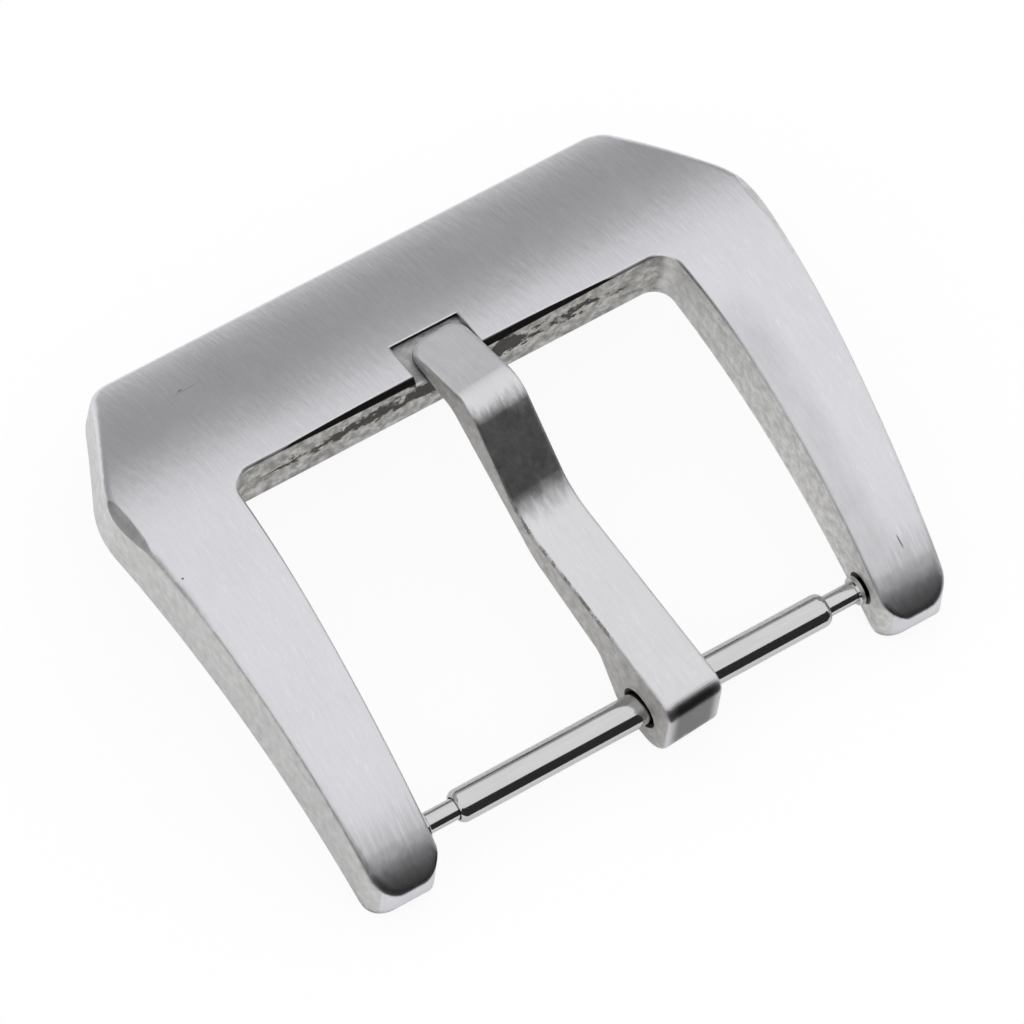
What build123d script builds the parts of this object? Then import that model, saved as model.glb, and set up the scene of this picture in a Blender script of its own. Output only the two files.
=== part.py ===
from build123d import *
from math import asin, cos, degrees, radians, sin, sqrt, tan
import os

# Watch strap buckle with a hinged tang on a spring bar.
# X runs along the spring bar, Y from the bar to the front of the frame, Z up.
# The origin is the middle of the spring bar's axis. Lengths are in millimetres.

# Strap and spring bar
strap_gap = 22.0
barrel_radius = 0.75
barrel_length = 18.4
barrel_wall = 0.15
barrel_lip = 0.2
barrel_shoulder = 0.3
barrel_end_radius = 0.61
pin_radius = 0.475
pin_clearance = 0.05
collar_clearance = 0.04
collar_thickness = 0.5
collar_seat_gap = 0.03
stem_length = 1.3
stem_radius = 0.26
flange_radius = 0.65
flange_thickness = 0.25
flange_gap = 0.1
flange_chamfer = 0.06
tip_radius = 0.4
tip_reach = 1.0
tip_chamfer = 0.12

# Coil spring inside the barrel
coil_wire = 0.16
coil_radius = 0.43
coil_turns = 4
coil_seat_gap = 0.04

# Frame seen from the side
crown_y = 12.5
crown_height = 5.82
crown_radius = 18.0
crown_turn_deg = 14.0
front_radius = 19.0
arm_top_radius = 30.0
arm_turn_deg = 18.2
nose_radius = 9.4
nose_turn_deg = 13.8
nose_round = 0.5
heel_radius = 1.0
arm_end_face = 0.75
belly_y = 15.0
belly_height = 2.64
front_edge_y = 23.27
front_face_bottom = 1.0
front_under_flat = 1.0
front_under_slope_deg = 24.0

# Frame seen from above
window_front_y = 15.42
window_front_half = 10.84
window_mid_half = 11.0
window_mid_y = 9.0
window_corner_round = 1.0
arm_width_at_bar = 3.22
arm_width_mid = 4.02
arm_mid_y = 8.0
side_draft_deg = 1.9
shoulder_half = 15.93
shoulder_y = 16.95
shoulder_drop = 1.9
shoulder_flare = 0.2
corner_half = 12.72
arm_end_round = 1.3

# Softened edges
shoulder_round = 4.5
front_corner_round = 1.4
outer_edge_round = 0.4
window_edge_bevel = 0.1
nick_width = 0.52
nick_length = 3.2
nick_drop = 0.5
nick_inset = 0.5
nick_back = 0.75
rim_relief_depth = 0.22
rim_relief_tilt_deg = 50.0

# Holes for the spring bar
tip_clearance = 0.05
tip_hole_depth = 1.8
countersink_radius = 0.74
countersink_depth = 0.22

# Rest for the tang's tip
notch_half = 1.67
notch_back_y = 17.5
notch_back_depth = 0.25
notch_front_depth = 0.62

# Tang
tang_width = 2.82
tang_tip_width = 2.72
tang_side_shift = 1.3
tang_skew_deg = 3.9
tang_bore_clearance = 0.09
tang_bore_chamfer = 0.14
tang_edge_round = 0.2
eyelet_back = 1.8
eyelet_top = 2.25
eyelet_bottom = 1.66
eyelet_front = 1.25
eyelet_back_round = 0.8
eyelet_under_round = 1.25
neck_y = 3.0
neck_under = 0.42
neck_round = 0.9
knee_y = 8.75
knee_top = 3.0
knee_top_round = 3.2
knee_under_y = 7.7
knee_under = 1.42
knee_under_round = 3.0
hump_y = 12.85
hump_top = 6.7
hump_top_round = 1.7
hump_under_y = 13.9
hump_under_round = 1.6
tip_y = 17.1
tip_top = 5.5
tip_rest_gap = 0.05
tip_corner_round = 0.75

# Length added to a cut so that it runs clear of the material
overrun = 2.0

# Smallest spread that tells one edge's ends apart
pick_gap = 0.01

arm_inner_half = strap_gap / 2
barrel_half = barrel_length / 2
barrel_bore = barrel_radius - barrel_wall
barrel_mouth = pin_radius + pin_clearance
collar_radius = barrel_bore - collar_clearance
collar_outer = barrel_half - barrel_lip - collar_seat_gap
collar_inner = collar_outer - collar_thickness
tip_hole_radius = tip_radius + tip_clearance
tang_bore_radius = barrel_radius + tang_bore_clearance


def crown_top(y):
    """Height of the frame's crowned top, ahead of its highest line."""
    return crown_height - front_radius + sqrt(front_radius**2 - (y - crown_y) ** 2)


def notch_floor(y):
    """Height of the notch's floor at a place between the window and its back."""
    back = crown_top(notch_back_y) - notch_back_depth
    front = crown_top(window_front_y) - notch_front_depth
    share = (y - window_front_y) / (notch_back_y - window_front_y)
    return front + (back - front) * share


def turned(points):
    """Body of revolution about X from a half profile of (x, radius) points."""
    return revolve(make_face(Polyline(*points, close=True)), axis=Axis.X)


def arm_end():
    """Rear end of the arms in the side view: its place, and the heel's level."""
    a = radians(crown_turn_deg)
    b = radians(crown_turn_deg + arm_turn_deg)
    c = radians(crown_turn_deg + arm_turn_deg + nose_turn_deg)
    y = crown_y - crown_radius * sin(a) - arm_top_radius * (sin(b) - sin(a))
    y -= nose_radius * (sin(c) - sin(b))
    z = crown_height - crown_radius * (1 - cos(a)) - arm_top_radius * (cos(a) - cos(b))
    z -= nose_radius * (cos(b) - cos(c))
    return y, z - arm_end_face


def belly_arc():
    """Radius and turn of the hollow under the arms, which runs into the heel."""
    end_y, heel_z = arm_end()
    run = belly_y - end_y - heel_radius
    drop = belly_height - heel_z
    radius = (run**2 + drop**2 - heel_radius**2) / (2 * (heel_radius + drop))
    return radius, degrees(asin(run / (radius + heel_radius)))


def apron_radius():
    """Radius of the bend under the front bar, from the hollow to the slope."""
    slope = radians(front_under_slope_deg)
    run = front_edge_y - front_under_flat - belly_y
    drop = belly_height - front_face_bottom
    return (run * sin(slope) - drop * cos(slope)) / (1 - cos(slope))


def side_profile():
    """Outline of the frame seen along X: crowned top, hollowed underside."""
    front_bend = degrees(asin((front_edge_y - crown_y) / front_radius))
    belly_radius, belly_turn = belly_arc()
    with BuildSketch(Plane.YZ) as sketch:
        with BuildLine():
            front = JernArc((crown_y, crown_height), (1, 0), front_radius, -front_bend)
            top = JernArc((crown_y, crown_height), (-1, 0), crown_radius, crown_turn_deg)
            arm = JernArc(top @ 1, top % 1, arm_top_radius, arm_turn_deg)
            nose = JernArc(arm @ 1, arm % 1, nose_radius, nose_turn_deg)
            land = Line(nose @ 1, arm_end())
            heel = JernArc(land @ 1, (0, -1), heel_radius, 90 + belly_turn)
            RadiusArc(heel @ 1, (belly_y, belly_height), belly_radius)
            slope = -front_under_slope_deg
            apron = JernArc((belly_y, belly_height), (1, 0), apron_radius(), slope)
            under_end = (front_edge_y - front_under_flat, front_face_bottom)
            Polyline(apron @ 1, under_end, (front_edge_y, front_face_bottom), front @ 1)
        make_face()
        fillet(sketch.vertices().sort_by_distance(nose @ 1)[0], nose_round)
    return sketch.sketch


def outer_outline(flare):
    """Outside of the frame at the crown's level, or flared out for a lower one."""
    end_y, end_z = arm_end()
    draft = (crown_height - end_z) * tan(radians(side_draft_deg))
    rear_y = end_y + draft - flare
    front_y = front_edge_y + flare
    bar_half = arm_inner_half + arm_width_at_bar + flare
    mid_half = arm_inner_half + arm_width_mid + flare
    rear_half = bar_half + (mid_half - bar_half) * rear_y / arm_mid_y
    start = (rear_half, rear_y)
    middle = (mid_half, arm_mid_y)
    side = ThreePointArc(start, middle, (shoulder_half + flare, shoulder_y))
    centre = side.arc_center
    swell = 1 if centre.X < shoulder_half else -1
    ahead_half = centre.X + swell * sqrt(side.radius**2 - (front_y - centre.Y) ** 2)
    right = ThreePointArc(start, middle, (ahead_half, front_y))
    left = right.mirror(Plane.YZ)
    face = make_face([right, Line(right @ 1, left @ 1), left, Line(left @ 0, right @ 0)])
    return fillet(face.vertices().group_by(Axis.Y)[0], arm_end_round - draft + flare)


def window_outline():
    """Window between the arms, open at the rear."""
    rear_y = arm_end()[0] - overrun
    spread = (window_mid_half - arm_inner_half) / window_mid_y
    start = (arm_inner_half + spread * rear_y, rear_y)
    middle = (window_mid_half, window_mid_y)
    wall = ThreePointArc(start, middle, (window_front_half, window_front_y))
    other = wall.mirror(Plane.YZ)
    face = make_face([wall, Line(wall @ 1, other @ 1), other, Line(other @ 0, wall @ 0)])
    return fillet(face.vertices().group_by(Axis.Y)[-1], window_corner_round)


def arm_end_cutter(side):
    """Cutter that rounds the inner rear corner of one arm, seen from above."""
    wall = arm_inner_half - pick_gap
    end_y = arm_end()[0] - pick_gap
    turn_y = end_y + arm_end_round
    turn_x = wall + arm_end_round
    corner = RadiusArc((wall, turn_y), (turn_x, end_y), -arm_end_round)
    around = Polyline(
        (turn_x, end_y),
        (turn_x, end_y - overrun),
        (wall - overrun, end_y - overrun),
        (wall - overrun, turn_y),
        (wall, turn_y),
    )
    cutter = extrude(make_face([corner, *around.edges()]), amount=crown_height, both=True)
    return cutter if side > 0 else cutter.mirror(Plane.YZ)


def corner_facet(side):
    """Block that planes off one front corner along a leaning facet."""
    shoulder_top = Vector(side * shoulder_half, shoulder_y, crown_top(shoulder_y))
    corner_top = Vector(side * corner_half, front_edge_y, crown_top(front_edge_y))
    shoulder_low = shoulder_top + Vector(side * shoulder_flare, 0, -shoulder_drop)
    along = corner_top - shoulder_top
    normal = along.cross(shoulder_low - shoulder_top)
    if normal.X * side < 0:
        normal = -normal
    plane = Plane(shoulder_top, x_dir=along, z_dir=normal)
    reach = shoulder_half + overrun
    return plane * Box(reach, reach, reach, align=(Align.CENTER, Align.CENTER, Align.MIN))


def rim_relief():
    """Cutter that eases the window's front rim, deepest beside the notch."""
    half_chord = window_front_half - window_corner_round
    radius = (half_chord**2 + rim_relief_depth**2) / (2 * rim_relief_depth)
    tilt = radians(rim_relief_tilt_deg)
    rim = Vector(0, window_front_y, crown_top(window_front_y))
    outward = Vector(0, -sin(tilt), cos(tilt))
    axis_point = rim + outward * (radius - rim_relief_depth)
    plane = Plane(axis_point, x_dir=(1, 0, 0), z_dir=(0, cos(tilt), sin(tilt)))
    limit = Box(2 * half_chord, window_front_y, 2 * crown_height)
    return plane * Cylinder(radius, crown_height) & Pos(rim) * limit


def notch_cutter():
    """Wedge that sinks the rest for the tang's tip into the front bar."""
    start_y = window_front_y - overrun
    lift = crown_height + overrun
    points = [
        (start_y, notch_floor(start_y)),
        (notch_back_y, notch_floor(notch_back_y)),
        (notch_back_y, lift),
        (start_y, lift),
    ]
    outline = Plane.YZ * make_face(Polyline(*points, close=True))
    return extrude(outline, amount=notch_half, both=True)


def pin_hole(side):
    """Blind countersunk hole for the spring bar's tip in one arm."""
    mouth = side * (arm_inner_half - overrun)
    face = side * arm_inner_half
    sink = side * (arm_inner_half + countersink_depth)
    bottom = side * (arm_inner_half + tip_hole_depth)
    points = [
        (mouth, 0),
        (mouth, countersink_radius),
        (face, countersink_radius),
        (sink, tip_hole_radius),
        (bottom, tip_hole_radius),
        (bottom, 0),
    ]
    return turned(points)


def frame_blank():
    """Front bar, leaning corner facets and curved arms, with sharp edges."""
    floor = arm_end()[1] - heel_radius - overrun
    depth = crown_height - floor
    flare = depth * tan(radians(side_draft_deg))
    body = Pos(0, 0, floor) * extrude(outer_outline(flare), amount=depth, taper=side_draft_deg)
    body &= extrude(side_profile(), amount=shoulder_half + overrun, both=True)
    body -= extrude(window_outline(), amount=depth, both=True)
    for side in (-1, 1):
        body -= corner_facet(side)
    return body


def nearest_edge(body, x, y, z):
    """Edge of a body that passes closest to a place."""
    return body.edges().sort_by_distance((x, y, z))[0]


def shoulder_nick(side):
    """Block that planes a tapering sliver off the arm's edge beside the shoulder."""
    side_y = shoulder_y - nick_back
    tail_y = shoulder_y - nick_length
    on_top = Vector(side * (shoulder_half - nick_width), shoulder_y, crown_top(shoulder_y))
    on_side = Vector(side * shoulder_half, side_y, crown_top(side_y) - nick_drop)
    tail = Vector(side * (shoulder_half - nick_inset), tail_y, crown_top(tail_y))
    along = tail - on_top
    normal = along.cross(on_side - on_top)
    if normal.Z < 0:
        normal = -normal
    plane = Plane(on_top, x_dir=along, z_dir=normal)
    reach = shoulder_y
    return plane * Box(reach, reach, reach, align=(Align.CENTER, Align.CENTER, Align.MIN))


def soften(body):
    """Frame with its shoulders, front corners, top edges and window rim softened."""
    for side in (-1, 1):
        body -= arm_end_cutter(side)
    low = belly_height + shoulder_drop / 2
    shoulders = [nearest_edge(body, side * shoulder_half, shoulder_y, low) for side in (-1, 1)]
    body = fillet(shoulders, shoulder_round)
    low = (crown_top(front_edge_y) + front_face_bottom) / 2
    corners = [nearest_edge(body, side * corner_half, front_edge_y, low) for side in (-1, 1)]
    body = fillet(corners, front_corner_round)
    edges = [nearest_edge(body, 0, front_edge_y, crown_top(front_edge_y))]
    middle_y = (shoulder_y + front_edge_y) / 2
    middle_half = (shoulder_half + corner_half) / 2
    for side in (-1, 1):
        edges.append(nearest_edge(body, side * middle_half, middle_y, crown_top(middle_y)))
    body = fillet(edges, outer_edge_round)
    rim = nearest_edge(body, 0, window_front_y, crown_top(window_front_y))
    body = chamfer([rim], window_edge_bevel)
    for side in (-1, 1):
        body -= shoulder_nick(side)
    return body


def make_frame():
    """One-piece frame with its notch, eased rims and holes."""
    body = soften(frame_blank())
    body -= notch_cutter()
    body -= rim_relief()
    for side in (-1, 1):
        body -= pin_hole(side)
    return body


def tang_profile():
    """Side outline of the tang: eyelet, flat back, rise, hump and flat tip."""
    tip_low = notch_floor(tip_y) + tip_rest_gap
    rest_low = notch_floor(window_front_y) + tip_rest_gap
    slope = (tip_low - rest_low) / (tip_y - window_front_y)
    under = rest_low + slope * (hump_under_y - window_front_y)
    corners = [
        ((-eyelet_back, eyelet_top), eyelet_back_round),
        ((knee_y, knee_top), knee_top_round),
        ((hump_y, hump_top), hump_top_round),
        ((tip_y, tip_top), 0),
        ((tip_y, tip_low), 0),
        ((hump_under_y, under), hump_under_round),
        ((knee_under_y, knee_under), knee_under_round),
        ((neck_y, neck_under), neck_round),
        ((eyelet_front, -eyelet_bottom), eyelet_under_round),
        ((-eyelet_back, -eyelet_bottom), eyelet_under_round),
    ]
    face = make_face(Polyline(*[place for place, _ in corners], close=True))
    for place, radius in corners:
        if radius:
            near = face.vertices().sort_by_distance((place[0], place[1], 0))[0]
            face = fillet(near, radius)
    return Plane.YZ * face


def tang_placed(shape):
    """Shape moved from the tang's own line to its place on the bar."""
    return Pos(tang_side_shift, 0, 0) * Rot(0, 0, tang_skew_deg) * shape


def tang_plan():
    """Tang seen from above: a slow taper to a tip with rounded corners."""
    half = tang_width / 2
    tip_half = tang_tip_width / 2
    rear_y = -eyelet_back - overrun
    rear_half = half + (half - tip_half) * -rear_y / tip_y
    points = [(rear_half, rear_y), (tip_half, tip_y), (-tip_half, tip_y), (-rear_half, rear_y)]
    face = make_face(Polyline(*points, close=True))
    return fillet(face.vertices().group_by(Axis.Y)[-1], tip_corner_round)


def tang_rims(body):
    """Edges round both sides and the tip of the tang."""
    rims = []
    for edge in body.edges():
        place = edge.center()
        width = abs((edge @ 0).X - (edge @ 1).X)
        height = abs((edge @ 0).Z - (edge @ 1).Z)
        at_tip = place.Y > tip_y - tip_corner_round - pick_gap
        upright = at_tip and width < pick_gap and height > tang_edge_round
        crossing = width > tip_corner_round and place.Y < tip_y - pick_gap
        if not upright and not crossing:
            rims.append(edge)
    return rims


def tang_bore():
    """Bore along the spring bar, with a small cone at each mouth."""
    half = tang_width / 2
    wide = tang_bore_radius + tang_bore_chamfer
    points = [
        (half + pick_gap, 0),
        (half + pick_gap, wide),
        (half - tang_bore_chamfer, tang_bore_radius),
        (half - tang_bore_chamfer, 0),
    ]
    bore = Pos(tang_side_shift, 0, 0) * Rot(0, 90, 0) * Cylinder(tang_bore_radius, 2 * tang_width)
    for side in (-1, 1):
        bore += tang_placed(turned([(side * x, radius) for x, radius in points]))
    return bore


def make_tang():
    """Tang with rounded tip corners, softened edges and its bore."""
    body = extrude(tang_profile(), amount=tang_width, both=True)
    body &= extrude(tang_plan(), amount=hump_top + overrun, both=True)
    body = fillet(tang_rims(body), tang_edge_round)
    return tang_placed(body) - tang_bore()


def make_barrel():
    """Spring bar tube with its ends rolled in around the pins."""
    end = barrel_half
    inner_end = barrel_half - barrel_lip
    shoulder = barrel_half - barrel_shoulder
    right = TangentArc((shoulder, barrel_radius), (end, barrel_end_radius), tangent=(1, 0))
    left = right.mirror(Plane.YZ)
    inside = Polyline(
        right @ 1,
        (end, barrel_mouth),
        (inner_end, barrel_mouth),
        (inner_end, barrel_bore),
        (-inner_end, barrel_bore),
        (-inner_end, barrel_mouth),
        (-end, barrel_mouth),
        left @ 1,
    )
    outside = Line(left @ 0, right @ 0)
    face = make_face([right, *inside.edges(), left, outside])
    return revolve(face, axis=Axis.X)


def make_plunger(side):
    """One sprung end of the bar: stem, collar, shaft, flange and tip."""
    flange_out = arm_inner_half - flange_gap
    flange_in = flange_out - flange_thickness
    tip_end = arm_inner_half + tip_reach
    points = [
        (collar_inner - stem_length, 0),
        (collar_inner - stem_length, stem_radius),
        (collar_inner, stem_radius),
        (collar_inner, collar_radius),
        (collar_outer, collar_radius),
        (collar_outer, pin_radius),
        (flange_in, pin_radius),
        (flange_in, flange_radius - flange_chamfer),
        (flange_in + flange_chamfer, flange_radius),
        (flange_out, flange_radius),
        (flange_out, tip_radius),
        (tip_end - tip_chamfer, tip_radius),
        (tip_end, tip_radius - tip_chamfer),
        (tip_end, 0),
    ]
    return turned([(side * x, radius) for x, radius in points])


def make_coil_spring():
    """Coil spring between the two collars, wound by formula about X."""
    reach = 2 * (collar_inner - coil_seat_gap - coil_wire)
    path = Helix(pitch=reach / coil_turns, height=reach, radius=coil_radius)
    section = Plane(path @ 0, z_dir=path % 0) * Rectangle(coil_wire, coil_wire)
    coil = sweep(section, path=path)
    return Rot(0, 90, 0) * Pos(0, 0, -reach / 2) * coil


nodes = {
    "frame": make_frame(),
    "tang": make_tang(),
    "barrel": make_barrel(),
    "plunger_left": make_plunger(-1),
    "plunger_right": make_plunger(1),
    "coil_spring": make_coil_spring(),
}
os.makedirs("parts", exist_ok=True)
for name, shape in nodes.items():
    export_step(shape, f"parts/{name}.step")
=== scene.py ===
"""Looks of the watch strap buckle: brushed and polished steel in a plain white studio.

Lengths are in metres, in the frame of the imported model: X along the spring bar,
Y from the bar to the front of the buckle, Z up. Inside the metals' materials,
places are in millimetres.
"""

import math

import bmesh
import bpy
from mathutils import Matrix, Vector


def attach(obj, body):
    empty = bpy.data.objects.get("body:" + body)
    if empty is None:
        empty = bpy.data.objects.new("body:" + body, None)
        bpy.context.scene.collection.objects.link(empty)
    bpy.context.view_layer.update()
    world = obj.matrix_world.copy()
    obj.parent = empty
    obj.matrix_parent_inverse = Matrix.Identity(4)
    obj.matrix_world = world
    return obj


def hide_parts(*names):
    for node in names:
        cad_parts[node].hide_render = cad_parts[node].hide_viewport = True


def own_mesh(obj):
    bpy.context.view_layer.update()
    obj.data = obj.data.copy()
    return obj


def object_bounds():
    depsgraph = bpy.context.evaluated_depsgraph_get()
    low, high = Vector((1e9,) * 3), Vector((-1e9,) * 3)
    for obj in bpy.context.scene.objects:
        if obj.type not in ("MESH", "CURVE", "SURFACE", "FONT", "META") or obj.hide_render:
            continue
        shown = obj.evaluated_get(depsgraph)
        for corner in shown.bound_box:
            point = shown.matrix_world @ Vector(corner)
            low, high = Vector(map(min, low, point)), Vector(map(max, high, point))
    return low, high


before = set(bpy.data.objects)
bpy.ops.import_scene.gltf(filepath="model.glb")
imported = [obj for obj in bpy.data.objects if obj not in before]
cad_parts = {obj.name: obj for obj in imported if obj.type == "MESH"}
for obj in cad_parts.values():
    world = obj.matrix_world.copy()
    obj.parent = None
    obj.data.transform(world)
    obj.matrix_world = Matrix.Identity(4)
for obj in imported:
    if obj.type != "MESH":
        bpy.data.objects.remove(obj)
cad_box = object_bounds()

MM = 0.001

# Camera
CAMERA_TARGET = Vector((-0.70, 9.23, 3.00)) * MM
CAMERA_DISTANCE = 332.64 * MM
CAMERA_AZIMUTH = math.radians(-40.31)
CAMERA_ELEVATION = math.radians(60.93)
CAMERA_ROLL = math.radians(8.61)
CAMERA_NEAR = 0.01
CAMERA_FAR = 10.0
SENSOR_WIDTH = 36.0
FOCAL_LENGTH = 281.25

# Floor: its share of shadow as the camera sees it and as the metal mirrors it
FLOOR_HALF = 1500 * MM
FLOOR_GAP = 0.02 * MM
FLOOR_SHADE = 0.8
FLOOR_SHADOW_SEEN = 0.1
FLOOR_SHADOW_MIRRORED = 0.95

# Cards that the metal mirrors
CARD_SPREAD = 420 * MM
REAR_CARD_DISTANCE = 300 * MM
REAR_CARD_ELEVATION = math.radians(38.5)
REAR_CARD_SHADE = 0.035
REAR_BOARD_NEAR = -4.5 * MM
REAR_BOARD_LIFT = 0.05 * MM
FRONT_CARD_DISTANCE = 150 * MM
FRONT_CARD_PLAIN_ELEVATION = math.radians(27)
FRONT_CARD_ELEVATION = math.radians(45)
FRONT_CARD_SHADE = 0.38
FRONT_CARD_TOP_SHADE = 1.0
SIDE_CARD_DISTANCE = 200 * MM
SIDE_CARD_SHADE = 0.03
# Azimuths of a side card's two ends, and elevation of its top
SIDE_CARDS = (
    (math.radians(114), math.radians(168), math.radians(42)),
    (math.radians(168), math.radians(214), math.radians(13)),
)

# Steel
STEEL = (0.718, 0.718, 0.748)
STEEL_SIDE = (0.605, 0.60, 0.595)
STEEL_TANG = (0.705, 0.705, 0.725)
STEEL_POLISHED = (0.63, 0.625, 0.625)
# Dark colour of grime and scratches, also used for painted shade and painted dark reflections
GRIME_AND_PAINTED_SHADE = (0.035, 0.033, 0.03, 1)
# Painted shadow in a band under the window's rim
SHADOW_BAND_COLOR = (0.075, 0.07, 0.066, 1)
# Rough steel: colour of its pits, colour between them
CAST_DULL = ((0.33, 0.325, 0.31, 1), (0.8, 0.79, 0.755, 1))
CAST_BRIGHT = ((0.64, 0.635, 0.62, 1), (0.9, 0.895, 0.875, 1))
NOTCH_FLOOR = ((0.22, 0.22, 0.225, 1), (0.8, 0.8, 0.81, 1))
TANG_SIDE = ((0.3, 0.295, 0.285, 1), (0.9, 0.89, 0.87, 1))

# Relief and eased edges
LINE_DEPTH = 0.004 * MM
FURROW_DEPTH = 0.018 * MM
ROUGH_DEPTH = 0.05 * MM
RING_DEPTH = 0.0006 * MM
EDGE_EASE = 0.13 * MM
END_EASE = 0.38 * MM
# Reach of the painted shade in narrow corners and joints
HOLLOW_SHADE_REACH = 0.45 * MM
RAYS = 8

# How far the pattern and each mark change the steel
LINES_SHADE = (0.84, 1.12)
LINES_ROUGHNESS = 0.07
CLOUD_SHADE = 0.06
CLOUD_ROUGHNESS = 0.03
SMEAR_SHADE = (0.88, 1.1)
SMEAR_ROUGHNESS = (-0.02, 0.03)
RINGS_ROUGHNESS = (-0.03, 0.04)
SIDE_MOTTLE = 0.32
STROKE_LIFT = 0.08
ROUGH_DULLING = 0.22
SLIVER_SHARE = 0.42
ARM_END_SHARE = 0.26
INNER_ARM_SHARE = 0.3
RISE_SHARE = (0.45, 0.95)
TANG_REAR_SHARE = 0.78
BURR_SHARE = (0.15, 0.8)
SEAM_SHARE = 0.85

# Limits of masks: where a mark begins, where it is full. First parts of a
# normal that tell faces apart, then values of noise and of openness
FACES_UP = (0.2, 0.5)
FACES_SIDE = (0.65, 0.8)
TANG_SIDE_FACES = (0.75, 0.9)
UPRIGHT = (0.45, 0.25)
LEVEL = (0.8, 0.95)
RIM_FACES_REAR = (-0.55, -0.7)
RIM_FACES_UP = (0.4, 0.55)
NOTCH_END_FACES_REAR = (-0.5, -0.8)
SLIVER_FACES = (0.3, 0.45)
TANG_FACES_REAR = (-0.3, -0.75)
BURR_FACES_LEFT = (-0.3, -0.42)
BURR_STOPS_LEFT = (-0.95, -0.85)
PITS = (0.3, 0.7)
BAND_PIECES = (0.4, 0.46)
BURR_FLAWS = (0.38, 0.58)
STROKES = (0.66, 0.74)
HOLLOWS = (0.62, 0.2)

# Limits on the frame, in millimetres
WINDOW_SIDE = (11.4, 11.2)
WINDOW_FRONT = (15.75, 15.6)
FRONT_WALL = (15.0, 15.3)
NOTCH_SIDE = (1.74, 1.7)
NOTCH_REAR = (15.5, 15.6)
NOTCH_FRONT = (17.5, 17.46)
NOTCH_END_SIDE = (1.8, 1.74)
NOTCH_END_REAR = (17.4, 17.45)
NOTCH_END_FRONT = (17.65, 17.6)
HOLE_MOUTH = (11.03, 11.05)
SLIVER_SIDE = (14.7, 15.0)
SLIVER_FRONT = (17.2, 16.6)
SLIVER_REAR = (12.0, 12.8)
ARM_ENDS = (0.9, -1.2)
BEVELLED_ENDS = (0.6, -0.9)
INNER_ARM_OUTSIDE = (13.1, 11.8)
INNER_ARM_INSIDE = (10.9, 11.1)
INNER_ARM_FRONT = (13.0, 10.0)
BAND_ENDS = (9.6, 8.4)
BAND_EDGE = (-0.04, 0.04)

# Limits on the tang, in millimetres
RISE_REAR = (8.0, 9.8)
RISE_FRONT = (13.0, 11.8)
REAR_LOW = (-1.1, -0.3)
REAR_END = (-0.9, -1.3)
REAR_ACROSS = (1.35, 0.75)
BURR_REAR = (0.8, 3.0)
BURR_FRONT = (10.5, 8.6)
SEAM_LOW = (5.36, 5.2)
SEAM_REAR = (14.9, 15.4)

# Other measures of marks, in millimetres
BAND_HEIGHT = 4.6
BAND_SWAY = 1.5
BAND_HALF = 0.66
ARM_END_SWAY = 1.6
RISE_SWAY = 0.9
REAR_SWAY = 0.5
TANG_REAR_X = 1.4
HOLE_RADIUS = 0.78
BORE_RADIUS = 1.0
RADIUS_BLUR = 0.04
ANY_HEIGHT = 1000
# What the band loses in height and in half width each millimetre off the middle
BAND_FALL = 0.05
BAND_TAPER = 0.055

# Marks on the frame's upper face: centre in millimetres, half length, half
# width, turn in degrees, share of the grime in it
SCRATCHES = (
    ((12.91, 0.20), 0.38, 0.042, -86, 0.8),
    ((-9.90, 20.72), 0.16, 0.04, 10, 0.75),
    ((-9.72, 20.62), 0.85, 0.035, 3, 0.25),
    ((-15.03, 12.27), 0.07, 0.06, 0, 0.9),
)


# ---------------------------------------------------------------- node helpers


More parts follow.
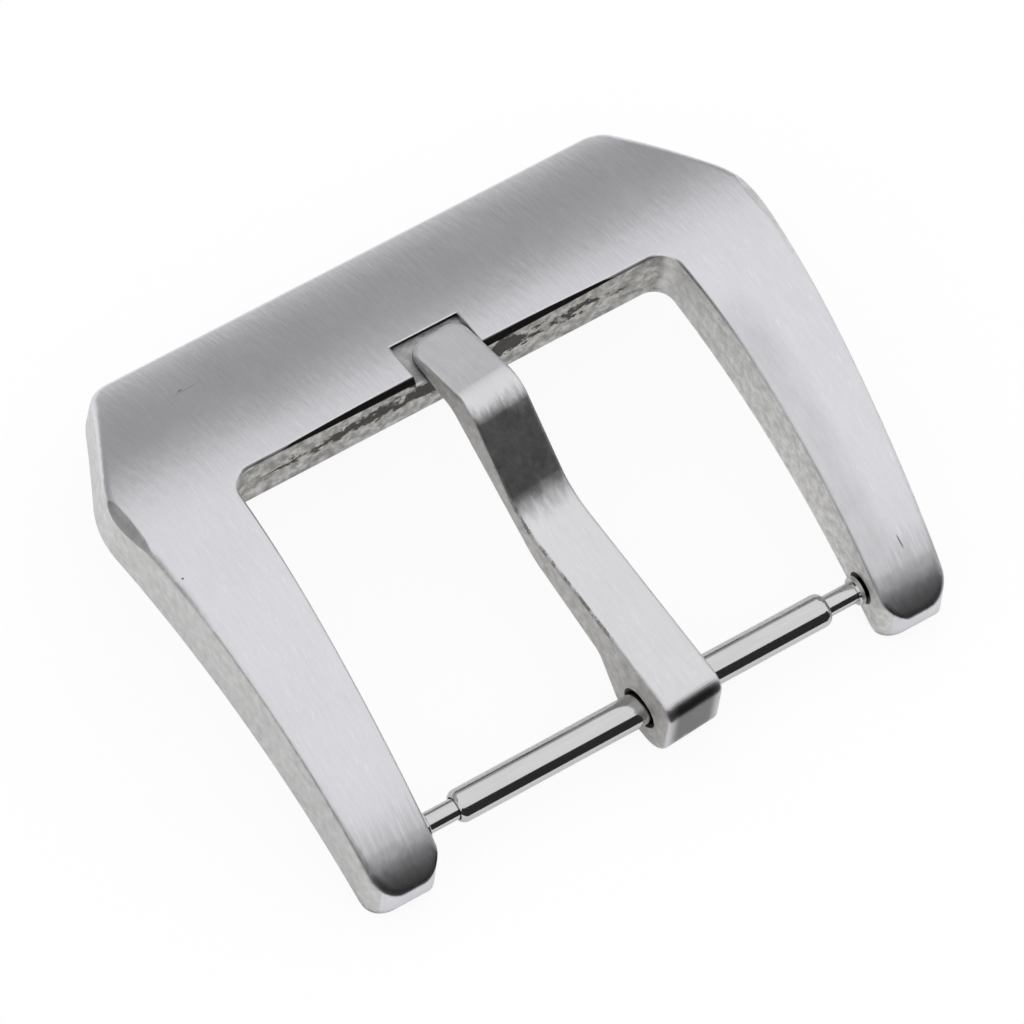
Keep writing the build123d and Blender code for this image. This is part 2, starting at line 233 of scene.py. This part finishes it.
class Graph:
    """The nodes of one new material."""

    def __init__(self, name):
        self.material = bpy.data.materials.new(name)
        self.material.use_nodes = True
        self.tree = self.material.node_tree
        self.tree.nodes.clear()

    def add(self, kind, **settings):
        node = self.tree.nodes.new(kind)
        for name, value in settings.items():
            setattr(node, name, value)
        return node

    def link(self, source, target):
        self.tree.links.new(source, target)

    def feed(self, socket, value):
        """Links a socket, or sets a plain value."""
        if isinstance(value, bpy.types.NodeSocket):
            self.link(value, socket)
        else:
            socket.default_value = value

    def finished(self, surface):
        """The material, with this shader as its surface."""
        self.link(surface, self.add("ShaderNodeOutputMaterial").inputs["Surface"])
        return self.material

    def metal(self):
        """Inputs and output of a metal shader."""
        shader = self.add("ShaderNodeBsdfPrincipled")
        shader.inputs["Metallic"].default_value = 1.0
        return shader.inputs, shader.outputs[0]

    def math(self, operation, a, b=0.0):
        """Result of a math node on sockets or plain values."""
        node = self.add("ShaderNodeMath", operation=operation)
        self.feed(node.inputs[0], a)
        self.feed(node.inputs[1], b)
        return node.outputs[0]

    def chain(self, operation, values):
        """The values joined by one operation, from first to last."""
        result = values[0]
        for value in values[1:]:
            result = self.math(operation, result, value)
        return result

    def total(self, *values):
        return self.chain("ADD", values)

    def times(self, *values):
        return self.chain("MULTIPLY", values)

    def most(self, *values):
        return self.chain("MAXIMUM", values)

    def size(self, value):
        """The value without its sign."""
        return self.math("ABSOLUTE", value)

    def smooth(self, value, begin, full):
        """0 up to begin, 1 from full on, smooth between."""
        node = self.add("ShaderNodeMapRange", interpolation_type="SMOOTHSTEP")
        self.feed(node.inputs["Value"], value)
        node.inputs["From Min"].default_value = begin
        node.inputs["From Max"].default_value = full
        return node.outputs[0]

    def where(self, *limits):
        """1 where every (value, begin, full) is full, 0 where one hasn't begun."""
        return self.times(*[self.smooth(*limit) for limit in limits])

    def spread(self, value, low, high):
        """A 0 to 1 value spread over a range."""
        node = self.add("ShaderNodeMapRange")
        self.feed(node.inputs["Value"], value)
        node.inputs["To Min"].default_value = low
        node.inputs["To Max"].default_value = high
        return node.outputs[0]

    def mix(self, share, a, b):
        node = self.add("ShaderNodeMix", data_type="RGBA")
        self.feed(node.inputs["Factor"], share)
        self.feed(node.inputs[6], a)
        self.feed(node.inputs[7], b)
        return node.outputs[2]

    def scale(self, vector, factor):
        node = self.add("ShaderNodeVectorMath", operation="SCALE")
        self.feed(node.inputs[0], vector)
        self.feed(node.inputs["Scale"], factor)
        return node.outputs[0]

    def split(self, vector):
        node = self.add("ShaderNodeSeparateXYZ")
        self.link(vector, node.inputs[0])
        return node.outputs

    def place(self):
        """Place on the object in millimetres."""
        return self.scale(self.add("ShaderNodeTexCoord").outputs["Object"], 1 / MM)

    def normal(self):
        """X, Y and Z of the face's own normal."""
        return self.split(self.add("ShaderNodeNewGeometry").outputs["True Normal"])

    def noise(self, place, spots, turn=0.0, detail=3.0, roughness=0.55):
        """Noise with its own number of spots a millimetre along each axis."""
        mapping = self.add("ShaderNodeMapping", vector_type="TEXTURE")
        self.link(place, mapping.inputs["Vector"])
        mapping.inputs["Scale"].default_value = [1 / spot for spot in spots]
        mapping.inputs["Rotation"].default_value = (0, 0, turn)
        noise = self.add("ShaderNodeTexNoise")
        self.link(mapping.outputs[0], noise.inputs["Vector"])
        noise.inputs["Scale"].default_value = 1.0
        noise.inputs["Detail"].default_value = detail
        noise.inputs["Roughness"].default_value = roughness
        return noise.outputs["Fac"]

    def bump(self, height, depth, normal=None):
        node = self.add("ShaderNodeBump")
        node.inputs["Strength"].default_value = 1.0
        node.inputs["Distance"].default_value = depth
        self.link(height, node.inputs["Height"])
        if normal is not None:
            self.link(normal, node.inputs["Normal"])
        return node.outputs[0]


def grey(shade):
    return (shade, shade, shade, 1)


# ------------------------------------------------------------------- materials


def brush_lines(graph, place):
    """Scratches that run from front to back, and the share of side faces."""
    side = graph.smooth(graph.size(graph.normal()[0]), *FACES_SIDE)
    fine = graph.noise(place, (9.0, 0.9, 0.9), detail=4.0, roughness=0.62)
    crossed = graph.noise(place, (5.0, 0.5, 0.5), turn=math.radians(7), detail=3.0)
    grit = graph.noise(place, (11.0, 5.0, 5.0), detail=2.0)
    top = graph.total(graph.times(fine, 0.5), graph.times(crossed, 0.3), graph.times(grit, 0.2))
    fine_side = graph.noise(place, (0.9, 0.9, 8.0), detail=4.0, roughness=0.62)
    mixed = graph.add("ShaderNodeMix", data_type="FLOAT")
    graph.link(side, mixed.inputs["Factor"])
    graph.link(top, mixed.inputs["A"])
    graph.link(fine_side, mixed.inputs["B"])
    return mixed.outputs[0], side


def with_painted_hollow_shade(graph, color):
    """The colour, darkened in narrow corners and joints: painted shade from an occlusion node."""
    hollow = graph.add("ShaderNodeAmbientOcclusion", samples=RAYS)
    hollow.inputs["Distance"].default_value = HOLLOW_SHADE_REACH
    return graph.mix(graph.smooth(hollow.outputs["AO"], *HOLLOWS), color, GRIME_AND_PAINTED_SHADE)


def brushed_steel(name, color, roughness, anisotropy, extras):
    """Steel brushed from front to back; extras(graph, place) gives its own marks.

    They are a mask, colour and height of rough places, and a darkening share.
    """
    graph = Graph(name)
    inputs, surface = graph.metal()
    inputs["Anisotropic"].default_value = anisotropy
    tangent = graph.add("ShaderNodeCombineXYZ")
    tangent.inputs["X"].default_value = 1.0
    graph.link(tangent.outputs[0], inputs["Tangent"])

    place = graph.place()
    lines, side = brush_lines(graph, place)
    cloud = graph.noise(place, (0.3, 0.2, 0.3), detail=3.0)
    cast = graph.noise(place, (2.2, 2.2, 2.2), detail=4.0, roughness=0.6)
    strokes = graph.noise(place, (13.0, 1.5, 1.5), turn=math.radians(-5), detail=1.0)
    shade = graph.total(
        graph.spread(lines, *LINES_SHADE),
        graph.spread(cloud, -CLOUD_SHADE, CLOUD_SHADE),
        graph.times(side, graph.spread(cast, -SIDE_MOTTLE, SIDE_MOTTLE)),
        graph.times(graph.smooth(strokes, *STROKES), STROKE_LIFT),
    )
    steel_color = graph.scale(graph.mix(side, (*color, 1), (*STEEL_SIDE, 1)), shade)
    steel_roughness = graph.total(
        graph.spread(lines, roughness - LINES_ROUGHNESS, roughness + LINES_ROUGHNESS),
        graph.spread(cloud, -CLOUD_ROUGHNESS, CLOUD_ROUGHNESS),
    )
    bevel = graph.add("ShaderNodeBevel", samples=RAYS)
    rear_end = graph.smooth(graph.split(place)[1], *BEVELLED_ENDS)
    graph.link(graph.spread(rear_end, EDGE_EASE, END_EASE), bevel.inputs["Radius"])
    relief = graph.bump(lines, LINE_DEPTH, bevel.outputs[0])
    furrows = graph.noise(place, (5.0, 0.8, 0.8), detail=2.0)
    relief = graph.bump(furrows, FURROW_DEPTH, relief)

    rough, rough_color, rough_height, dark = extras(graph, place)
    # Darkening share: scratches and wear, and painted shade and painted dark reflections
    steel_color = graph.mix(dark, steel_color, GRIME_AND_PAINTED_SHADE)
    steel_color = graph.mix(rough, steel_color, rough_color)
    steel_roughness = graph.total(steel_roughness, graph.times(rough, ROUGH_DULLING))
    relief = graph.bump(graph.times(rough_height, rough), ROUGH_DEPTH, relief)

    # Painted shade in narrow corners and joints
    graph.link(with_painted_hollow_shade(graph, steel_color), inputs["Base Color"])
    graph.link(steel_roughness, inputs["Roughness"])
    graph.link(relief, inputs["Normal"])
    return graph.finished(surface)


def scratch(graph, place, center, half_length, half_width, turn):
    """Small straight mark seen from above, with soft ends."""
    mapping = graph.add("ShaderNodeMapping", vector_type="TEXTURE")
    graph.link(place, mapping.inputs["Vector"])
    mapping.inputs["Location"].default_value = (*center, 0)
    mapping.inputs["Rotation"].default_value = (0, 0, math.radians(turn))
    mapping.inputs["Scale"].default_value = (half_length, half_width, ANY_HEIGHT)
    length = graph.add("ShaderNodeVectorMath", operation="LENGTH")
    graph.link(mapping.outputs[0], length.inputs[0])
    return graph.smooth(length.outputs["Value"], 1.0, 0.5)


def near_bar(graph, y, z, radius):
    """1 within a radius round the spring bar's axis."""
    distance = graph.math("SQRT", graph.total(graph.times(y, y), graph.times(z, z)))
    return graph.smooth(distance, radius, radius - RADIUS_BLUR)


def frame_marks(graph, place):
    """Cast walls in the window with a painted shadow under the rim, its rim painted dark, the
    notch, and the wear and painted shade on top.
    """
    x, y, z = graph.split(place)
    nx, ny, nz = graph.normal()
    off_middle = graph.size(x)
    inside_x = graph.smooth(off_middle, *WINDOW_SIDE)
    inside_y = graph.smooth(y, *WINDOW_FRONT)
    front_wall = graph.smooth(y, *FRONT_WALL)
    wall = graph.times(graph.smooth(graph.size(nz), *UPRIGHT), inside_x, inside_y)

    grain = graph.noise(place, (2.0, 2.0, 2.0), detail=5.0, roughness=0.66)
    pits = graph.smooth(grain, *PITS)
    bright = graph.mix(pits, *CAST_BRIGHT)
    color = graph.mix(front_wall, bright, graph.mix(pits, *CAST_DULL))

    # Painted shadow under the rim: a broken dark band, widest beside the notch
    sway = graph.noise(place, (0.8, 0.8, 1.1), detail=6.0, roughness=0.72)
    gaps = graph.noise(place, (0.7, 0.7, 0.7), detail=4.0, roughness=0.6)
    level = graph.total(
        z,
        graph.times(off_middle, BAND_FALL),
        -BAND_HEIGHT,
        graph.spread(sway, -BAND_SWAY, BAND_SWAY),
    )
    half = graph.math("SUBTRACT", BAND_HALF, graph.times(off_middle, BAND_TAPER))
    within = graph.math("SUBTRACT", half, graph.size(level))
    band = graph.where((within, *BAND_EDGE), (gaps, *BAND_PIECES), (off_middle, *BAND_ENDS))
    color = graph.mix(graph.times(band, front_wall), color, SHADOW_BAND_COLOR)

    # The eased rim in front of the window leans back between wall and crown, and is painted dark:
    # a painted dark reflection
    leaning = graph.where((ny, *RIM_FACES_REAR), (nz, *RIM_FACES_UP))
    rim = graph.times(leaning, front_wall, inside_y)
    # Painted dark reflection on the rim
    color = graph.mix(rim, color, GRIME_AND_PAINTED_SHADE)

    # The notch's floor and front end, and the blind holes for the bar; the front end and the
    # holes get painted shade
    floor = graph.where(
        (off_middle, *NOTCH_SIDE), (nz, *LEVEL), (y, *NOTCH_FRONT), (y, *NOTCH_REAR)
    )
    color = graph.mix(floor, color, graph.mix(grain, *NOTCH_FLOOR))
    end = graph.where(
        (ny, *NOTCH_END_FACES_REAR),
        (off_middle, *NOTCH_END_SIDE),
        (y, *NOTCH_END_REAR),
        (y, *NOTCH_END_FRONT),
    )
    mouth = graph.smooth(off_middle, *HOLE_MOUTH)
    hole = graph.times(near_bar(graph, y, z, HOLE_RADIUS), inside_x, mouth)

    # The planed sliver on each shoulder is duller than the steel round it
    sliver = graph.where(
        (off_middle, *SLIVER_SIDE),
        (graph.size(nx), *SLIVER_FACES),
        (nz, *SLIVER_FACES),
        (y, *SLIVER_FRONT),
        (y, *SLIVER_REAR),
    )
    sliver = graph.times(sliver, SLIVER_SHARE)
    color = graph.mix(sliver, color, bright)
    # Painted shade on the notch's front end and in the bar's holes
    darkened = graph.most(end, hole)
    color = graph.mix(darkened, color, GRIME_AND_PAINTED_SHADE)
    rough = graph.most(wall, rim, floor, darkened, sliver)

    # Painted shade in streaks that darken the arms' ends, a dull inner half of the right arm, and
    # the single scratches, which are wear
    streaks = graph.noise(place, (7.0, 0.45, 0.45), detail=3.0)
    uneven = graph.total(y, graph.spread(streaks, -ARM_END_SWAY, ARM_END_SWAY))
    ends = graph.smooth(uneven, *ARM_ENDS)
    patches = graph.noise(place, (1.3, 0.5, 0.5), detail=5.0, roughness=0.65)
    inner = graph.where((x, *INNER_ARM_OUTSIDE), (x, *INNER_ARM_INSIDE), (y, *INNER_ARM_FRONT))
    wear_and_painted_shade = graph.most(
        graph.times(ends, ARM_END_SHARE),
        graph.times(inner, graph.spread(patches, 0.0, INNER_ARM_SHARE)),
    )
    for center, half_length, half_width, turn, share in SCRATCHES:
        mark = scratch(graph, place, center, half_length, half_width, turn)
        wear_and_painted_shade = graph.most(wear_and_painted_shade, graph.times(mark, share))
    return rough, color, grain, graph.times(wear_and_painted_shade, graph.smooth(nz, *FACES_UP))


def tang_marks(graph, place):
    """Rough sides of the tang, its dark left rim, and painted dark reflection on its rise and
    painted shade on its rear end.
    """
    x, y, z = graph.split(place)
    nx, ny, nz = graph.normal()
    side = graph.smooth(graph.size(nx), *TANG_SIDE_FACES)
    grain = graph.noise(place, (2.4, 2.4, 2.4), detail=5.0, roughness=0.66)
    patch = graph.noise(place, (3.0, 0.8, 0.8), detail=4.0, roughness=0.6)
    flaws = graph.noise(place, (1.5, 1.5, 1.5), detail=5.0, roughness=0.7)

    # Painted dark reflection on the rise and painted shade on the rear end
    uneven = graph.total(y, graph.spread(patch, -RISE_SWAY, RISE_SWAY))
    rise = graph.where((uneven, *RISE_REAR), (uneven, *RISE_FRONT), (nz, *FACES_UP))
    low = graph.total(z, graph.spread(patch, -REAR_SWAY, REAR_SWAY))
    across = graph.size(graph.math("SUBTRACT", x, TANG_REAR_X))
    rear = graph.where(
        (ny, *TANG_FACES_REAR), (low, *REAR_LOW), (y, *REAR_END), (across, *REAR_ACROSS)
    )
    dark = graph.most(
        graph.times(rise, graph.spread(flaws, *RISE_SHARE)),
        graph.times(rear, TANG_REAR_SHARE),
    )

    # Burr along the left rim, painted shadow where the tip's side meets the notch's floor, and
    # painted shade in the bore round the bar
    burr = graph.where(
        (nx, *BURR_FACES_LEFT), (nx, *BURR_STOPS_LEFT), (y, *BURR_REAR), (y, *BURR_FRONT)
    )
    burr = graph.times(burr, graph.spread(graph.smooth(flaws, *BURR_FLAWS), *BURR_SHARE))
    seam = graph.times(graph.where((z, *SEAM_LOW), (y, *SEAM_REAR)), SEAM_SHARE)
    darkened = graph.most(burr, seam, near_bar(graph, y, z, BORE_RADIUS))
    color = graph.mix(darkened, graph.mix(grain, *TANG_SIDE), GRIME_AND_PAINTED_SHADE)
    return graph.most(side, darkened), color, grain, dark


def polished_steel(name, color, roughness):
    """Drawn and polished steel with faint lathe lines round the bar."""
    graph = Graph(name)
    inputs, surface = graph.metal()
    place = graph.place()
    rings = graph.noise(place, (14.0, 0.4, 0.4), detail=3.0)
    smear = graph.noise(place, (0.35, 4.0, 4.0), detail=4.0, roughness=0.6)
    base = graph.scale(color, graph.spread(smear, *SMEAR_SHADE))
    # Painted shade in narrow corners and joints
    graph.link(with_painted_hollow_shade(graph, base), inputs["Base Color"])
    lowest, highest = (roughness + change for change in RINGS_ROUGHNESS)
    dullness = graph.total(
        graph.spread(rings, lowest, highest),
        graph.spread(smear, *SMEAR_ROUGHNESS),
    )
    graph.link(dullness, inputs["Roughness"])
    graph.link(graph.bump(rings, RING_DEPTH), inputs["Normal"])
    return graph.finished(surface)


def card_material(name, low_shade, high_shade, low_z, high_z):
    """Studio card that shines evenly, from one shade below to another above."""
    graph = Graph(name)
    glow = graph.add("ShaderNodeEmission")
    z = graph.split(graph.add("ShaderNodeTexCoord").outputs["Object"])[2]
    shade = graph.mix(graph.smooth(z, low_z, high_z), grey(low_shade), grey(high_shade))
    graph.link(shade, glow.inputs["Color"])
    return graph.finished(glow.outputs[0])


def white_with_shadow(graph, shadow_share):
    """White that keeps a share of the shadow that falls on it."""
    plain = graph.add("ShaderNodeBsdfDiffuse")
    plain.inputs["Color"].default_value = grey(shadow_share)
    glow = graph.add("ShaderNodeEmission")
    glow.inputs["Strength"].default_value = 1 - shadow_share
    both = graph.add("ShaderNodeAddShader")
    graph.link(plain.outputs[0], both.inputs[0])
    graph.link(glow.outputs[0], both.inputs[1])
    return both.outputs[0]


def floor_material():
    """Pale floor that shows white to the camera and in the metal."""
    graph = Graph("studio_floor")
    ray = graph.add("ShaderNodeLightPath").outputs
    plain = graph.add("ShaderNodeBsdfDiffuse")
    plain.inputs["Color"].default_value = grey(FLOOR_SHADE)
    surface = plain.outputs[0]
    mirrored = graph.most(ray["Is Glossy Ray"], ray["Is Transmission Ray"])
    seen = ray["Is Camera Ray"]
    for share, seen_by in ((FLOOR_SHADOW_MIRRORED, mirrored), (FLOOR_SHADOW_SEEN, seen)):
        pick = graph.add("ShaderNodeMixShader")
        graph.link(seen_by, pick.inputs["Fac"])
        graph.link(surface, pick.inputs[1])
        graph.link(white_with_shadow(graph, share), pick.inputs[2])
        surface = pick.outputs[0]
    return graph.finished(surface)


# ---------------------------------------------------------------------- studio


def sheet(name, corners, material):
    """Flat stage piece with these corners."""
    mesh = bpy.data.meshes.new(name)
    mesh.from_pydata(corners, [], [tuple(range(len(corners)))])
    mesh.materials.append(material)
    piece = bpy.data.objects.new(name, mesh)
    bpy.context.scene.collection.objects.link(piece)
    return piece


def level_sheet(name, half_width, rear_y, front_y, z, material):
    """Level sheet that reaches as far to the left as to the right."""
    corners = [
        (-half_width, rear_y, z),
        (half_width, rear_y, z),
        (half_width, front_y, z),
        (-half_width, front_y, z),
    ]
    return sheet(name, corners, material)


def upright_sheet(name, start, end, low, high, material):
    """Upright sheet between two places on the floor."""
    corners = [(*start, low), (*end, low), (*end, high), (*start, high)]
    return sheet(name, corners, material)


def only_mirrored(card):
    """Hides a card from everything but reflections."""
    card.visible_camera = False
    card.visible_diffuse = False
    card.visible_shadow = False


def build_cards(floor_z):
    """Dark and grey cards that give the metal its darker reflections."""
    middle_y = (cad_box[0].y + cad_box[1].y) / 2

    rear_y = middle_y - REAR_CARD_DISTANCE
    rear_top = REAR_CARD_DISTANCE * math.tan(REAR_CARD_ELEVATION)
    dark = card_material("rear_card", REAR_CARD_SHADE, REAR_CARD_SHADE, 0, rear_top)
    rear_ends = (-CARD_SPREAD, rear_y), (CARD_SPREAD, rear_y)
    only_mirrored(upright_sheet("rear_card", *rear_ends, floor_z, rear_top, dark))
    board_z = floor_z + REAR_BOARD_LIFT
    only_mirrored(level_sheet("rear_board", CARD_SPREAD, rear_y, REAR_BOARD_NEAR, board_z, dark))

    front_y = middle_y + FRONT_CARD_DISTANCE
    front_top = FRONT_CARD_DISTANCE * math.tan(FRONT_CARD_ELEVATION)
    plain_top = FRONT_CARD_DISTANCE * math.tan(FRONT_CARD_PLAIN_ELEVATION)
    fading = card_material(
        "front_card", FRONT_CARD_SHADE, FRONT_CARD_TOP_SHADE, plain_top, front_top
    )
    front_ends = (-CARD_SPREAD, front_y), (CARD_SPREAD, front_y)
    only_mirrored(upright_sheet("front_card", *front_ends, floor_z, front_top, fading))

    side = card_material("side_card", SIDE_CARD_SHADE, SIDE_CARD_SHADE, 0, SIDE_CARD_DISTANCE)
    for number, (*azimuths, elevation) in enumerate(SIDE_CARDS):
        ends = [
            (
                cad_box[0].x + SIDE_CARD_DISTANCE * math.cos(azimuth),
                middle_y + SIDE_CARD_DISTANCE * math.sin(azimuth),
            )
            for azimuth in azimuths
        ]
        top = SIDE_CARD_DISTANCE * math.tan(elevation)
        only_mirrored(upright_sheet(f"side_card_{number}", *ends, floor_z, top, side))


def build_sky():
    world = bpy.data.worlds.new("studio_world")
    world.use_nodes = True
    sky = world.node_tree.nodes["Background"]
    sky.inputs["Color"].default_value = (1, 1, 1, 1)
    sky.inputs["Strength"].default_value = 1.0
    bpy.context.scene.world = world


def build_studio():
    floor_z = cad_box[0].z - FLOOR_GAP
    level_sheet("studio_floor", FLOOR_HALF, -FLOOR_HALF, FLOOR_HALF, floor_z, floor_material())
    build_cards(floor_z)
    build_sky()


def build_camera():
    data = bpy.data.cameras.new("camera")
    data.sensor_width = SENSOR_WIDTH
    data.lens = FOCAL_LENGTH
    data.clip_start = CAMERA_NEAR
    data.clip_end = CAMERA_FAR
    camera = bpy.data.objects.new("camera", data)
    bpy.context.scene.collection.objects.link(camera)
    flat = math.cos(CAMERA_ELEVATION)
    back = Vector((
        math.sin(CAMERA_AZIMUTH) * flat,
        -math.cos(CAMERA_AZIMUTH) * flat,
        math.sin(CAMERA_ELEVATION),
    ))
    turn = (-back).to_track_quat("-Z", "Y").to_matrix().to_4x4()
    roll = Matrix.Rotation(CAMERA_ROLL, 4, "Z")
    camera.matrix_world = Matrix.Translation(CAMERA_TARGET + back * CAMERA_DISTANCE) @ turn @ roll
    bpy.context.scene.camera = camera


# ---------------------------------------------------------------------- buckle


def finish_node(name, material):
    """Gives a CAD node's faces one material."""
    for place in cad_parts[name].material_slots:
        place.material = material


def half_coil(coil, cut_side):
    """Copy of the coil's mesh, cut and closed at the middle."""
    mesh = coil.data.copy()
    shape = bmesh.new()
    shape.from_mesh(mesh)
    whole = shape.verts[:] + shape.edges[:] + shape.faces[:]
    cut = bmesh.ops.bisect_plane(
        shape, geom=whole, plane_co=(0, 0, 0), plane_no=(cut_side, 0, 0), clear_outer=True
    )
    rims = [edge for edge in cut["geom_cut"] if isinstance(edge, bmesh.types.BMEdge)]
    bmesh.ops.holes_fill(shape, edges=rims)
    shape.to_mesh(mesh)
    shape.free()
    return mesh


def build_spring(material):
    """The coil in two halves, cut and closed at the middle, both fixed to the barrel."""
    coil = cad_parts["coil_spring"]
    for name, joint, cut_side in (
        ("coil_left", "plunger_left_slide", 1),
        ("coil_right", "plunger_right_slide", -1),
    ):
        mesh = half_coil(coil, cut_side)
        mesh.materials.clear()
        mesh.materials.append(material)
        half = bpy.data.objects.new(name, mesh)
        bpy.context.scene.collection.objects.link(half)
        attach(half, "barrel")
        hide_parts("coil_spring")
        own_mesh(half)


# ------------------------------------------------------------------------ main


finish_node("frame", brushed_steel(
    "frame_steel_finish", STEEL, roughness=0.34, anisotropy=0.65, extras=frame_marks
))
finish_node("tang", brushed_steel(
    "tang_steel_finish", STEEL_TANG, roughness=0.38, anisotropy=0.35, extras=tang_marks
))
finish_node("barrel", polished_steel("bar_steel_finish", STEEL_POLISHED, roughness=0.09))
pin = polished_steel("pin_steel_finish", STEEL_POLISHED, roughness=0.11)
finish_node("plunger_left", pin)
finish_node("plunger_right", pin)
build_spring(polished_steel("spring_steel_finish", STEEL, roughness=0.25))

build_studio()
build_camera()

scene = bpy.context.scene
scene.view_settings.view_transform = "Standard"
